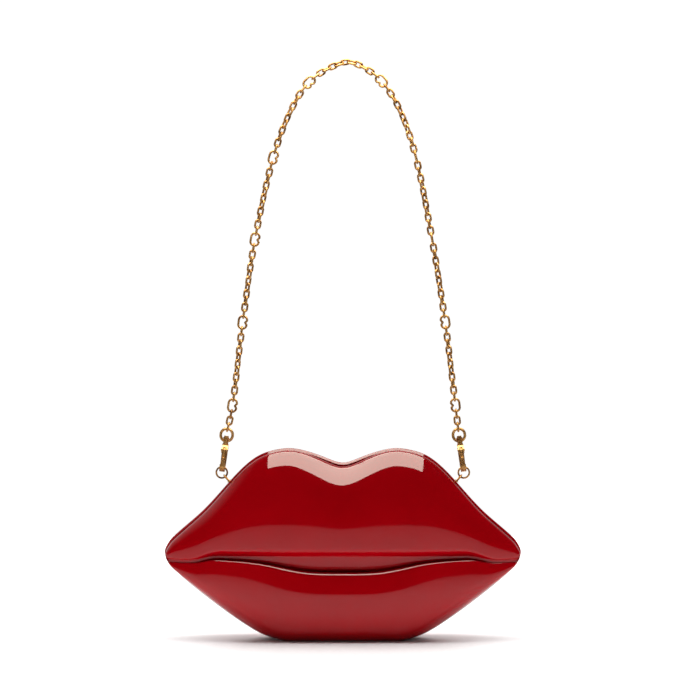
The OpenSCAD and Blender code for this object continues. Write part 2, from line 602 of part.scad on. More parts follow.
// Where the first link meets the eye, above the foot of the hook
chain_z = eye_z + eye_straight / 2 + eye_r - (eye_wire + link_wire) / 2 - link_play + half_cross;
chain_start = hook_foot + chain_z * hook_up;
SUMS = [for (k = 0, s = 0; k <= link_count; s = s + link_pitch(k), k = k + 1) s];
chain_length = SUMS[link_count];
// Route points between the eyes, stretched upwards by the factor h
function stretched(h) = concat([[chain_start.x, chain_start.z]],
  [for (p = ROUTE) [p.x * lug_x, chain_start.z + p.y * h]], [[-chain_start.x, chain_start.z]]);
// Smooth curve through points, twelve steps between two of them
STEPS = 12;
function smooth(p) = [for (i = [0:len(p) - 2], k = [0:STEPS - 1])
  let (a = p[max(0, i - 1)], b = p[i], c = p[i + 1], d = p[min(len(p) - 1, i + 2)], t = k / STEPS)
  0.5 * (2 * b + (c - a) * t + (2 * a - 5 * b + 4 * c - d) * t ^ 2 + (3 * b - a - 3 * c + d) * t ^ 3)];
function closed(p) = concat(smooth(p), [p[len(p) - 1]]);
function lengths(p) = let (last = len(p) - 1)
  [for (i = 0, s = 0; i <= last; s = s + (i < last ? norm(p[i + 1] - p[i]) : 0), i = i + 1) s];
function whole(p) = let (s = lengths(p)) s[len(s) - 1];
// Stretch at which the route is as long as the chain, found by halving
function fitted(low, high, n) = let (h = (low + high) / 2)
  n == 0 ? h : whole(closed(stretched(h))) < chain_length ? fitted(h, high, n - 1) : fitted(low, h, n - 1);
LINE = closed(stretched(fitted(0.6, 1.5, 24)));
RUN = lengths(LINE);
// Point of the line at the length s from its start
function along(s) = let (i = max([for (k = [0:len(RUN) - 2]) if (RUN[k] <= s || k == 0) k]))
  LINE[i] + (LINE[i + 1] - LINE[i]) * (s - RUN[i]) / (RUN[i + 1] - RUN[i]);
JOINTS = [for (s = SUMS) along(s)];
// Each notched link's turn about the chain: flat to the front, or edge on
NOTCH_TURN = [0, 0, 0, 0, 0, 0, 90, 90, 0, 0];
// Turn of link k: neighbours stand square, and drift between the notched links
function link_turn(k) = let (n = (k - end_count) / (run_count + 1), i = floor(n), f = n - i)
  let (a = NOTCH_TURN[max(0, min(notch_count - 1, i))], b = NOTCH_TURN[max(0, min(notch_count - 1, i + 1))])
  let (sway = a == b ? 45 * (1 - abs(2 * f - 1)) : 0, ends = n < 0 || n > notch_count - 1)
  90 * ((k - end_count) % 2) + (ends ? 0 : a + (b - a) * f + sway);
module at_link(k) {
  a = JOINTS[k];
  b = JOINTS[k + 1];
  translate([(a.x + b.x) / 2, lug_y, (a.y + b.y) / 2]) rotate([0, atan2(b.x - a.x, b.y - a.y), 0])
    rotate([0, 0, link_turn(k)]) children();
}
// Half ring at the end of a link, above z = h/2 or below for s = -1
module link_end(r, wire, h, s) translate([0, 0, s * h / 2]) rotate([s * 90, 0, 0])
  rotate_extrude(angle = 180, $fn = WIRE_FN) translate([r, 0]) circle(d = wire, $fn = WIRE_FN);
module plain_link() {
  r = (link_w - link_wire) / 2;
  h = link_l - link_w;
  for (s = [-1, 1]) {
    link_end(r, link_wire, h, s);
    translate([s * r, 0, -h / 2]) cylinder(d = link_wire, h = h, $fn = WIRE_FN);
  }
}
// Link with a soft notch in one long side
module notched_link() {
  r = (notch_w - notch_wire) / 2;
  h = notch_l - notch_w;
  slant = atan2(notch_dip, h / 2);
  for (s = [-1, 1]) {
    link_end(r, notch_wire, h, s);
    translate([r, 0, s * h / 2]) sphere(d = notch_wire, $fn = WIRE_FN);
    translate([r - notch_dip, 0, 0]) rotate([0, s > 0 ? slant : 180 - slant, 0])
      cylinder(d = notch_wire, h = h / 2 / cos(slant), $fn = WIRE_FN);
  }
  translate([r - notch_dip, 0, 0]) sphere(d = notch_wire, $fn = WIRE_FN);
  translate([-r, 0, -h / 2]) cylinder(d = notch_wire, h = h, $fn = WIRE_FN);
}
// Plain links of run n, counted from the left hook
module chain_run(n) {
  color(GOLD) for (k = [0:link_count - 1])
    if (!is_notched(k) && ceil((k - end_count) / (run_count + 1)) == n) at_link(k) plain_link();
}
module notched_links() color(GOLD) for (k = [0:link_count - 1]) if (is_notched(k)) at_link(k) notched_link();

// ---------- pieces ----------

module to_back() mirror([0, 1, 0]) children();
module to_right() mirror([1, 0, 0]) children();

module front_shell() color(RED) difference() {
  half_shell(-rim_proud, 0, wall, face_y, edge_bevel, edge_drop_y);
  hinge_cuts();
}
module back_shell() color(RED) difference() {
  to_back() half_shell(0, 0, wall, face_y, edge_bevel, edge_drop_y);
  to_back() hinge_cuts();
  lug_hole();
  to_right() lug_hole();
}
module front_lining() color(LINING) difference() {
  half_shell(-rim_proud, wall + lining_gap, wall + lining_gap + lining_t, face_y + lining_setback, 0, 0);
  lining_cuts();
}
module back_lining() color(LINING) difference() {
  to_back() half_shell(0, wall + lining_gap, wall + lining_gap + lining_t, face_y + lining_setback, 0, 0);
  to_back() lining_cuts();
  nut_pocket();
  to_right() nut_pocket();
}
module hinge_front_leaf() color(DARK_GOLD) leaf(1);
module hinge_back_leaf() color(DARK_GOLD) to_back() leaf(0);
module hinge_pin() color(STEEL) translate([-hinge_len / 2, 0, hinge_h]) rotate([0, 90, 0])
  cylinder(d = hinge_pin_d, h = hinge_len, $fn = ROUND_FN);
module front_rivets() color(DARK_GOLD) rivets();
module back_rivets() color(DARK_GOLD) to_back() rivets();
module magnet_holder_front() color(LINING) magnet_holder();
module magnet_holder_back() color(LINING) to_back() magnet_holder();
module magnet_front() color(STEEL) magnet();
module magnet_back() color(STEEL) to_back() magnet();
module lug_left() color(GOLD) lug();
module lug_right() color(GOLD) to_right() lug();
module lug_nut_left() color(STEEL) lug_nut();
module lug_nut_right() color(STEEL) to_right() lug_nut();
module jump_ring_left() color(GOLD) jump_ring();
module jump_ring_right() color(GOLD) to_right() jump_ring();
module swivel_eye_left() color(GOLD) swivel_eye();
module swivel_eye_right() color(GOLD) to_right() swivel_eye();
module hook_left() color(GOLD) hook();
module hook_right() color(GOLD) to_right() hook();
module lever_left() color(GOLD) lever();
module lever_right() color(GOLD) to_right() lever();
module lever_pin_left() color(DARK_GOLD) lever_pin();
module lever_pin_right() color(DARK_GOLD) to_right() lever_pin();
module lever_spring_left() color(STEEL) lever_spring();
module lever_spring_right() color(STEEL) to_right() lever_spring();

back_shell();
back_lining();
hinge_back_leaf();
hinge_pin();
back_rivets();
magnet_back();
magnet_holder_back();
lug_left();
lug_right();
lug_nut_left();
lug_nut_right();
front_shell();
front_lining();
hinge_front_leaf();
front_rivets();
magnet_front();
magnet_holder_front();
jump_ring_left();
jump_ring_right();
swivel_eye_left();
swivel_eye_right();
hook_left();
hook_right();
lever_left();
lever_right();
lever_pin_left();
lever_pin_right();
lever_spring_left();
lever_spring_right();
chain_run(0);  // chain_run_01
chain_run(1);  // chain_run_02
chain_run(2);  // chain_run_03
chain_run(3);  // chain_run_04
chain_run(4);  // chain_run_05
chain_run(5);  // chain_run_06
chain_run(6);  // chain_run_07
chain_run(7);  // chain_run_08
chain_run(8);  // chain_run_09
chain_run(9);  // chain_run_10
chain_run(10);  // chain_run_11
notched_links();
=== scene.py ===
"""Lips-shaped evening clutch: moulded shells, satin linings, a gilt chain strap and a plain studio.

Every length is in metres in the shared frame: X to the right, Y to the back, Z up, with the origin
under the middle of the base. The classes follow the way the bag is put together: the form of the
lips, the two half shells, their linings, the strap's links, and the studio around them.
"""

import json
import logging
import math
from collections.abc import Callable
from dataclasses import dataclass, field
from enum import Enum

import bpy
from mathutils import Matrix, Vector


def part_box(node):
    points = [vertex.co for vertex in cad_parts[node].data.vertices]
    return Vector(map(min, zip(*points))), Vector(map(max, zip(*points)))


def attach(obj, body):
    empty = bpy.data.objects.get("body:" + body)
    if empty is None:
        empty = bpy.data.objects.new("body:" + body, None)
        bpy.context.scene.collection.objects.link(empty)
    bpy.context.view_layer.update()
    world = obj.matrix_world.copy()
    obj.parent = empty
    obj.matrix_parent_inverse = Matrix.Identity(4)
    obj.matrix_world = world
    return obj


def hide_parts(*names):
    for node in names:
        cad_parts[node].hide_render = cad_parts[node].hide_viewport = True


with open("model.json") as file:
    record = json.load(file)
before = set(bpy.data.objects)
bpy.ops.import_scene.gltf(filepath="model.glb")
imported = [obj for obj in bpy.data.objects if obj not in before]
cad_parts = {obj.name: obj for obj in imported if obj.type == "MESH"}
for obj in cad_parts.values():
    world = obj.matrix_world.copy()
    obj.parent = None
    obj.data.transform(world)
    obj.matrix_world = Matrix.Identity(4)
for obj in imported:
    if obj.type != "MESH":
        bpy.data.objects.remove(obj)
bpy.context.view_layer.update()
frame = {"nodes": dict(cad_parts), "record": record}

logging.basicConfig(level=logging.INFO, format="%(name)s: %(message)s")
log = logging.getLogger("clutch")

Object, Material = bpy.types.Object, bpy.types.Material
Tree, Socket = bpy.types.NodeTree, bpy.types.NodeSocket

MM = 0.001
# vertices of a moulding that lie closer than this are one
MERGE = 0.001 * MM
# sides of a drill that cuts a round hole
DRILL_SIDES = 32


# ---------------------------------------------------------------- colour and nodes


def linear(hex_colour: str) -> tuple[float, float, float, float]:
    """Turn an sRGB hex colour to a linear one.

    Args:
        hex_colour: six hex digits after a hash sign.

    Returns:
        Linear red, green and blue, and an alpha of 1.
    """
    parts = [int(hex_colour[i:i + 2], 16) / 255 for i in (1, 3, 5)]
    values = [c / 12.92 if c <= 0.04045 else ((c + 0.055) / 1.055) ** 2.4 for c in parts]
    return (*values, 1.0)


def add_node(tree: Tree, kind: str, inputs: dict | None = None, **settings) -> bpy.types.Node:
    """Add a node with its settings, constants and links.

    Args:
        tree: the node tree that takes it.
        kind: the node's type name.
        inputs: socket name or index to a constant, or to the output socket that feeds it.
        settings: properties of the node itself.

    Returns:
        The new node.
    """
    new = tree.nodes.new(kind)
    for key, value in settings.items():
        setattr(new, key, value)
    for key, value in (inputs or {}).items():
        if isinstance(value, bpy.types.NodeSocket):
            tree.links.new(value, new.inputs[key])
        else:
            new.inputs[key].default_value = value
    return new


def add_ramp(tree: Tree, factor: Socket, stops: list[tuple[float, str]]) -> Socket:
    """Add a colour ramp.

    Args:
        tree: the node tree that takes it.
        factor: the output socket that it reads.
        stops: pairs of position and hex colour.

    Returns:
        The ramp's colour output.
    """
    ramp = add_node(tree, "ShaderNodeValToRGB", {"Fac": factor})
    points = ramp.color_ramp.elements
    while len(points) < len(stops):
        points.new(0.5)
    for point, (place, colour) in zip(points, stops):
        point.position = place
        point.color = linear(colour)
    return ramp.outputs["Color"]


def add_noise(tree: Tree, place: Socket, size_mm: float, detail: float) -> Socket:
    """Add a cloudy noise.

    Args:
        tree: the node tree that takes it.
        place: the output socket with the place to read it at.
        size_mm: the distance between two swellings.
        detail: how many finer layers lie on it.

    Returns:
        The noise's strength, from 0 to 1.
    """
    noise = add_node(tree, "ShaderNodeTexNoise",
                     {"Vector": place, "Scale": 1 / (size_mm * MM), "Detail": detail})
    return noise.outputs["Fac"]


def add_range(tree: Tree, value: Socket, source: tuple, target: tuple, **settings) -> Socket:
    """Add a node that maps one range of values to another.

    Args:
        tree: the node tree that takes it.
        value: the output socket that it reads.
        source: the two ends of the range that it reads.
        target: what it makes of them.
        settings: properties of the node itself.

    Returns:
        The mapped value.
    """
    mapped = add_node(tree, "ShaderNodeMapRange", {
        "Value": value, "From Min": source[0], "From Max": source[1],
        "To Min": target[0], "To Max": target[1]}, **settings)
    return mapped.outputs["Result"]


def add_bump(tree: Tree, height: Socket, strength: float, depth_mm: float) -> Socket:
    """Add a fine relief.

    Args:
        tree: the node tree that takes it.
        height: the output socket with the relief, from 0 to 1.
        strength: the share of it that shows.
        depth_mm: its full depth.

    Returns:
        The normal that it gives.
    """
    bump = add_node(tree, "ShaderNodeBump",
                    {"Height": height, "Strength": strength, "Distance": depth_mm * MM})
    return bump.outputs["Normal"]


def open_material(name: str) -> tuple[Material, Tree, Socket]:
    """Make an empty node material and return it with its tree and the place on the object."""
    material = bpy.data.materials.new(name)
    material.use_nodes = True
    tree = material.node_tree
    tree.nodes.clear()
    return material, tree, add_node(tree, "ShaderNodeTexCoord").outputs["Object"]


def close_material(tree: Tree, inputs: dict) -> None:
    """Finish a tree with a principled shader.

    Args:
        tree: the material's node tree.
        inputs: the shader's sockets, as constants or links.
    """
    shader = add_node(tree, "ShaderNodeBsdfPrincipled", inputs)
    add_node(tree, "ShaderNodeOutputMaterial", {"Surface": shader.outputs["BSDF"]})


# ---------------------------------------------------------------- finishes


@dataclass(frozen=True)
class RedAcrylic:
    """Moulded acrylic, dyed through and polished: a deep red under a hard, mirror-like skin."""

    name: str = "polished_red_acrylic"
    deep: str = "#7f0006"
    bright: str = "#850007"
    # clouds in the dye
    cloud_mm: float = 40.0
    # a clear acrylic lacquer, a little under solid acrylic's 1.49
    ior: float = 1.43
    roughness: float = 0.035
    # flow marks of the moulding, far too shallow to see except as a faint waver in reflections
    ripple_mm: float = 26.0
    ripple_depth_mm: float = 0.012
    # hairlines and handling marks left in the polish
    haze_mm: float = 5.0
    haze_rise: float = 0.03

    def build(self) -> Material:
        """Return the material."""
        material, tree, place = open_material(self.name)
        cloud = add_noise(tree, place, self.cloud_mm, 2.0)
        haze = add_noise(tree, place, self.haze_mm, 6.0)
        flow = add_noise(tree, place, self.ripple_mm, 0.0)
        close_material(tree, {
            "Base Color": add_ramp(tree, cloud, [(0.3, self.deep), (0.7, self.bright)]),
            "Roughness": add_range(tree, haze, (0.35, 0.75),
                                   (self.roughness, self.roughness + self.haze_rise)),
            "IOR": self.ior,
            "Normal": add_bump(tree, flow, 1.0, self.ripple_depth_mm)})
        return material


@dataclass(frozen=True)
class AntiqueGilt:
    """Cast or drawn brass with an antique gilt plating: warm gold, browner under patina."""

    name: str = "antique_gilt_brass"
    light: str = "#c39862"
    middle: str = "#ae824b"
    patina: str = "#86603a"
    roughness: float = 0.48
    # patches of patina, about a link long, and how much rougher they are
    patch_mm: float = 7.0
    patina_rise: float = 0.1
    # tumbling marks
    grain_mm: float = 0.35
    grain_depth_mm: float = 0.02
    grain_strength: float = 0.12

    def build(self) -> Material:
        """Return the material."""
        material, tree, place = open_material(self.name)
        patch = add_noise(tree, place, self.patch_mm, 1.0)
        grain = add_noise(tree, place, self.grain_mm, 2.0)
        close_material(tree, {
            "Base Color": add_ramp(tree, patch, [(0.3, self.patina), (0.46, self.middle),
                                                 (0.66, self.light)]),
            "Metallic": 1.0,
            "Roughness": add_range(tree, patch, (0.3, 0.7),
                                   (self.roughness + self.patina_rise, self.roughness)),
            "Normal": add_bump(tree, grain, self.grain_strength, self.grain_depth_mm)})
        return material


@dataclass(frozen=True)
class BrushedMetal:
    """Stamped or turned metal with fine lines from the brush, along the case's width."""

    name: str
    light: str
    dark: str
    roughness: float
    # brush lines are about 0.05 mm apart, drawn coarser so that they show
    line_mm: float = 0.3
    line_depth_mm: float = 0.01
    line_strength: float = 0.25
    # a line is 25 times as long as it is wide
    stretch: tuple = (0.04, 1.0, 1.0)

    def build(self) -> Material:
        """Return the material."""
        material, tree, place = open_material(self.name)
        stretched = add_node(tree, "ShaderNodeMapping", {"Vector": place, "Scale": self.stretch})
        lines = add_noise(tree, stretched.outputs["Vector"], self.line_mm, 2.0)
        close_material(tree, {
            "Base Color": add_ramp(tree, lines, [(0.3, self.dark), (0.6, self.light)]),
            "Metallic": 1.0,
            "Roughness": self.roughness,
            "Normal": add_bump(tree, lines, self.line_strength, self.line_depth_mm)})
        return material


@dataclass(frozen=True)
class SatinLining:
    """Woven satin glued to a thin board: long floats that catch the light one way."""

    name: str = "burgundy_satin_lining"
    face: str = "#4a0f18"
    shade: str = "#2a070d"
    roughness: float = 0.42
    # satin threads are about 0.1 mm apart, drawn at 0.6 mm so that the weave shows
    thread_mm: float = 0.6
    thread_depth_mm: float = 0.05
    thread_strength: float = 0.3
    waver: float = 0.6
    # spacing of the threads along each axis, as a share of thread_mm: the floats lie along Z
    weave: tuple = (("X", 1.0), ("Z", 3.0))
    # painted shadows where the satin was drawn over the board, as darker clouds in its colour
    fold_shadow_mm: float = 18.0
    sheen: float = 0.5
    sheen_roughness: float = 0.35

    def build(self) -> Material:
        """Return the material."""
        material, tree, place = open_material(self.name)
        across, along = [
            add_node(tree, "ShaderNodeTexWave",
                     {"Vector": place, "Distortion": self.waver,
                      "Scale": 1 / (self.thread_mm * share * MM * 2 * math.pi)},
                     bands_direction=direction).outputs["Fac"]
            for direction, share in self.weave]
        weave = add_node(tree, "ShaderNodeMath", {0: across, 1: along}, operation="ADD")
        # painted shade: noise clouds that darken the satin's colour towards its shade colour
        fold_shadows = add_noise(tree, place, self.fold_shadow_mm, 3.0)
        close_material(tree, {
            "Base Color": add_ramp(tree, fold_shadows, [(0.35, self.shade), (0.7, self.face)]),
            "Roughness": self.roughness,
            "Sheen Weight": self.sheen,
            "Sheen Roughness": self.sheen_roughness,
            "Normal": add_bump(tree, weave.outputs["Value"], self.thread_strength,
                               self.thread_depth_mm)})
        return material


@dataclass(frozen=True)
class PaperSweep:
    """Matt white background paper."""

    name: str = "matt_white_paper"
    face: str = "#ebebeb"
    fleck: str = "#e7e7e7"
    fibre_mm: float = 4.0
    roughness: float = 0.9
    shine: float = 0.1

    def build(self) -> Material:
        """Return the material."""
        material, tree, place = open_material(self.name)
        fibre = add_noise(tree, place, self.fibre_mm, 4.0)
        close_material(tree, {
            "Base Color": add_ramp(tree, fibre, [(0.3, self.fleck), (0.7, self.face)]),
            "Roughness": self.roughness,
            "Specular IOR Level": self.shine})
        return material


# ---------------------------------------------------------------- the form of the lips


def spline_through(points: list[tuple[float, float]]) -> Callable[[float], float]:
    """Build a smooth curve through points, level at its start and free at its end.

    Args:
        points: pairs of place and value, in order of place.

    Returns:
        A function that gives the value at a place.
    """
    n = len(points)
    xs, ys = [p[0] for p in points], [p[1] for p in points]
    gaps = [b - a for a, b in zip(xs, xs[1:])]
    # second derivatives from the usual three-term equations, solved by elimination
    low, middle, high, right = [0.0] * n, [1.0] * n, [0.0] * n, [0.0] * n
    middle[0], high[0], right[0] = 2 * gaps[0], gaps[0], 6 * (ys[1] - ys[0]) / gaps[0]
    for i in range(1, n - 1):
        low[i], middle[i], high[i] = gaps[i - 1], 2 * (gaps[i - 1] + gaps[i]), gaps[i]
        right[i] = 6 * ((ys[i + 1] - ys[i]) / gaps[i] - (ys[i] - ys[i - 1]) / gaps[i - 1])
    for i in range(1, n):
        share = low[i] / middle[i - 1]
        middle[i] -= share * high[i - 1]
        right[i] -= share * right[i - 1]
    bends = [0.0] * n
    for i in range(n - 1, -1, -1):
        bends[i] = (right[i] - (high[i] * bends[i + 1] if i < n - 1 else 0)) / middle[i]

    def value(x: float) -> float:
        """Value of the curve at x."""
        i = max(k for k in range(n - 1) if xs[k] <= x or k == 0)
        h, a, b = gaps[i], xs[i + 1] - x, x - xs[i]
        return (bends[i] * a ** 3 + bends[i + 1] * b ** 3) / (6 * h) \
            + (ys[i] / h - bends[i] * h / 6) * a + (ys[i + 1] / h - bends[i + 1] * h / 6) * b

    return value


def ease(a: float, b: float, x: float) -> float:
    """Smooth step from 0 at a to 1 at b."""
    t = min(1.0, max(0.0, (x - a) / (b - a)))
    return t * t * (3 - 2 * t)


def wave(k: float, n: float) -> float:
    """Share from 0 to 1 that moves slowly at both ends."""
    return (1 - math.cos(math.pi * k / n)) / 2


def turned(t: float) -> float:
    """Quarter circle, from 0 at t = 0 or less to 1 at t = 1."""
    return 1 - math.sqrt(1 - min(1.0, max(0.0, t)) ** 2)


def blend(least: float, share: float) -> float:
    """Value from least at a share of 0 to 1 at a share of 1."""
    return least + (1 - least) * share


class Side(Enum):
    """Which half of the case a piece belongs to, as the sign of its Y."""

    FRONT = -1
    BACK = 1


class MouthPart(Enum):
    """Stretch of the surface between the lips, in order from the lower lip up."""

    EDGE = "the lower lip's turned edge"
    LEDGE = "the flat behind it"
    WALL = "the wall up to the crease"


@dataclass
class LipForm:
    """Outline and relief of a pair of closed lips, as a depth over the parting plane.

    A place along the width is called u, its distance from the middle as a share of half_w. A span
    is a pair of such places, between which something fades.
    """

    half_w: float = 140 * MM
    height: float = 149 * MM
    # fullest depth of each lip, the depth at the corners, and the powers of the fall between them
    lower_depth: float = 27 * MM
    upper_depth: float = 26 * MM
    corner_depth: float = 8.5 * MM
    plan_powers: tuple = (2.2, 0.62)
    # power of the crowned profile of a lip
    crown_power: float = 2.6
    # depth and rounding of the side wall, with other values along the base
    rim_wall: float = 7 * MM
    rim_round: float = 2 * MM
    base_depth: float = 14.5 * MM
    base_round: float = 1 * MM
    base_span: tuple = (0.28, 0.56)
    # least that a lip stands out of the side wall
    least_rise: float = 0.4 * MM
    # how far the front shell's outline lies inside the back's, and the share more at the dip
    proud: float = 1.4 * MM
    dip_extra: float = 0.9
    dip_span: tuple = (0.05, 0.28)
    # crease under the upper lip: its height, its fall to the corners, and its least share of the
    # height between the outlines
    crease_h: float = 66.6 * MM
    crease_fall: float = 3.2 * MM
    fall_span: tuple = (0.7, 0.86)
    crease_least: float = 0.2
    # opening between the lips: its height at the middle and at the corners, the most of the lower
    # lip's height that it takes, and the half width and power of its taper
    mouth_gap: float = 12.0 * MM
    line_gap: float = 2.0 * MM
    gap_most: float = 0.4
    mouth_half: float = 52 * MM
    mouth_power: float = 4
    # power with which an inner skin's sunk ledge comes back up at the corners
    sink_power: float = 8
    # wall behind the opening: its slope, and the curl at its foot
    mouth_slope: float = 1.0 * MM
    mouth_curl: float = 2.6 * MM
    curl_h: float = 4.8 * MM
    # lower lip's upper edge: how far it draws back, at least and with which power, and its rounding
    edge_drop: float = 1.6 * MM
    drop_least: float = 0.4
    drop_power: float = 1.8
    edge_round: float = 4.0 * MM
    least_face: float = 1 * MM
    # roll under the upper lip: its height, its lean, and the share of it that is straight
    roll_h: float = 5.6 * MM
    roll_least: float = 1.2 * MM
    roll_most: float = 0.6
    roll_lean: float = math.radians(50)
    roll_flat: float = 0.62
    fold_span: tuple = (0.66, 0.88)
    # how far the upper lip draws back above the roll
    lip_slack: float = 0.7 * MM
    slack_least: float = 0.3
    # height of the corners as a share of the whole, and their rounding
    tip: float = 0.45
    tip_round: float = 6 * MM
    # share of each lip's height at which it is fullest; the lower lip's falls along its span
    full_up: float = 0.33
    full_low: float = 0.67
    full_low_side: float = 0.50
    full_span: tuple = (0.25, 0.7)
    # the outline: place along the half width and share of the height
    top_points: tuple = (
        (0, 0.923), (0.07, 0.940), (0.14, 0.966), (0.22, 0.989), (0.30, 1.0), (0.38, 0.991),
        (0.47, 0.962), (0.57, 0.889), (0.67, 0.787), (0.78, 0.675), (0.90, 0.576), (1, 0.491))
    bottom_points: tuple = (
        (0, 0), (0.32, 0), (0.40, 0.014), (0.47, 0.036), (0.56, 0.083), (0.67, 0.154),
        (0.80, 0.246), (0.90, 0.323), (1, 0.411))

    def __post_init__(self) -> None:
        """Prepare the outline's two curves."""
        self._top = spline_through(list(self.top_points))
        self._bottom = spline_through(list(self.bottom_points))

    def grow_of(self, side: Side) -> float:
        """How far a side's outline stands out."""
        return 0.0 if side is Side.BACK else -self.proud

    def tip_share(self, u: float) -> float:
        """How much of the outline's height is left at u near a corner."""
        a = 1 - self.tip_round / self.half_w
        return 1.0 if u <= a else math.sqrt(max(0.0, 1 - ((u - a) / (1 - a)) ** 2))

    def top_z(self, u: float, grow: float) -> float:
        """Height of the upper outline at u."""
        dip = 1 + self.dip_extra * (1 - ease(*self.dip_span, u))
        raw = (self._top(u) - self.tip) * self.height + grow * dip
        return self.tip * self.height + raw * self.tip_share(u)

    def bottom_z(self, u: float) -> float:
        """Height of the lower outline at u."""
        raw = (self.tip - max(0.0, self._bottom(u))) * self.height
        return self.tip * self.height - raw * self.tip_share(u)

    def mouth_share(self, u: float) -> float:
        """Share of the mouth's opening that is left at u."""
        return 1 / (1 + (u * self.half_w / self.mouth_half) ** self.mouth_power)

    def fold(self, u: float) -> float:
        """Share of the fold between the lips that is left at u."""
        return 1 - ease(*self.fold_span, u)

    def crease_z(self, u: float, grow: float) -> float:
        """Height of the crease under the upper lip at u."""
        low, high = self.bottom_z(u), self.top_z(u, grow)
        return max(self.crease_h - self.crease_fall * ease(*self.fall_span, u),
                   low + self.crease_least * (high - low))

    def edge_z(self, u: float, grow: float, sink: float) -> float:
        """Height of the lower lip's ledge at u, sunk under it on an inner skin."""
        crease, low = self.crease_z(u, grow), self.bottom_z(u)
        gap = self.line_gap + (self.mouth_gap - self.line_gap) * self.mouth_share(u)
        return crease - min(gap, self.gap_most * (crease - low)) - sink * (1 - u ** self.sink_power)

    def plan(self, u: float, depth: float) -> float:
        """Depth of a lip's fullest point at u."""
        inner, outer = self.plan_powers
        return self.corner_depth + (depth - self.corner_depth) * max(0.0, 1 - u ** inner) ** outer

    def crown(self, t: float) -> float:
        """Crowned profile, from 1 at t = 0 down to 0 at t = 1, ever steeper."""
        return 1 - t ** self.crown_power

    def under_base(self, u: float) -> float:
        """Share that is 1 under the base and 0 out along the lower lip."""
        return 1 - ease(*self.base_span, u)

    def low_rim(self, u: float) -> float:
        """Depth of the side wall along the lower outline."""
        return self.rim_wall + (self.base_depth - self.rim_wall) * self.under_base(u)

    def low_round(self, u: float) -> float:
        """Radius of the rounded edge along the lower outline."""
        return self.rim_round + (self.base_round - self.rim_round) * self.under_base(u)

    def upper_y(self, u: float, a: float, span: float) -> float:
        """Depth of the upper lip.

        Args:
            u: share of the half width.
            a: share of the lip's height, from 0 at the crease to 1 at the outline.
            span: the lip's height there.

        Returns:
            The depth over the parting plane.
        """
        full = self.plan(u, self.upper_depth)
        if a >= self.full_up:
            rise = self.crown((a - self.full_up) / (1 - self.full_up))
            edge = self.rim_round * turned(1 - (1 - a) * span / self.rim_round)
            return self.rim_wall + (full - self.rim_wall) * rise - edge
        s, fold = 1 - a / self.full_up, self.fold(u)
        roll = min(self.roll_least + (self.roll_h - self.roll_least) * fold,
                   self.roll_most * self.full_up * span)
        t, flat = min(1.0, a * span / roll), self.roll_flat
        tuck = (1 - t) ** 2 / (2 - 2 * flat) if t > flat else (1 - flat) / 2 + flat - t
        slack = self.lip_slack * blend(self.slack_least, fold)
        return full - slack * s * s - roll * math.tan(self.roll_lean) * tuck

    def fullest(self, u: float) -> float:
        """Share of the lower lip's height at which it is fullest."""
        return self.full_low - (self.full_low - self.full_low_side) * ease(*self.full_span, u)

    def lower_y(self, u: float, c: float, span: float) -> float:
        """Depth of the lower lip.

        Args:
            u: share of the half width.
            c: share of the face's height, from 0 at the outline to 1 where its edge starts to turn.
            span: the face's height there.

        Returns:
            The depth over the parting plane.
        """
        full, rim, most = self.plan(u, self.lower_depth), self.low_rim(u), self.fullest(u)
        if c <= most:
            edge = self.low_round(u) * turned(1 - c * span / self.low_round(u))
            return rim + max(self.least_rise, full - rim) * self.crown(1 - c / most) - edge
        back = self.lip_drop(u) * ((c - most) / (1 - most)) ** self.drop_power
        return max(full, rim + self.least_rise) - back

    def lip_drop(self, u: float) -> float:
        """How far the lower lip draws back above its fullest part."""
        return self.edge_drop * blend(self.drop_least, self.mouth_share(u))

    def mouth(self, u: float, grow: float, sink: float, part: MouthPart,
              t: float) -> tuple[float, float]:
        """Depth and height of a point between the lips.

        Args:
            u: share of the half width.
            grow: how far the outline stands out.
            sink: how far the ledge is sunk on an inner skin.
            part: the stretch that the point lies on.
            t: how far along that stretch, from 0 to 1.

        Returns:
            The depth over the parting plane and the height.
        """
        low, ledge, crease = self.bottom_z(u), self.edge_z(u, grow, sink), self.crease_z(u, grow)
        gap, share = crease - ledge, self.mouth_share(u)
        back = self.upper_y(u, 0, self.top_z(u, grow) - crease)
        deep = back - (self.mouth_slope + self.mouth_curl) * share
        front = self.lower_y(u, 1, ledge - low)
        turn = min(self.edge_round, gap / 2, (front - deep) / 2)
        first = self.edge_lean(u, ledge - turn - low)
        if part is MouthPart.EDGE:
            angle = first + (math.pi / 2 - first) * t
            return (front - turn * (math.cos(first) - math.cos(angle)),
                    ledge - turn * (1 - math.sin(angle)))
        if part is MouthPart.LEDGE:
            start = front - turn * math.cos(first)
            return start + (deep - start) * t, ledge
        curl = max(0.0, 1 - t * gap / min(self.curl_h, gap / 2)) ** 2
        return (back - share * (self.mouth_slope * (1 - t) + self.mouth_curl * curl),
                ledge + gap * t)

    def edge_lean(self, u: float, rise: float) -> float:
        """Lean of the lower lip's face where its edge starts to turn, rise being its height."""
        return math.atan2(self.drop_power * self.lip_drop(u),
                          max(self.least_face, (1 - self.fullest(u)) * rise))

    def turn_z(self, u: float, grow: float, sink: float) -> float:
        """Height at which the lower lip's edge starts to turn."""
        low, ledge = self.bottom_z(u), self.edge_z(u, grow, sink)
        _, level = self.mouth(u, grow, sink, MouthPart.EDGE, 0.0)
        return max(level, low + (ledge - low) / 2)

    def inset(self, p: Vector, w: float) -> Vector:
        """Move a point in through the wall by w: x, depth and height in turn."""
        mid = self.height / 2
        return Vector((p.x * (self.half_w - w) / self.half_w,
                       p.y * (self.lower_depth - w) / self.lower_depth,
                       mid + (p.z - mid) * (mid - w) / mid))


# ---------------------------------------------------------------- mesh tools


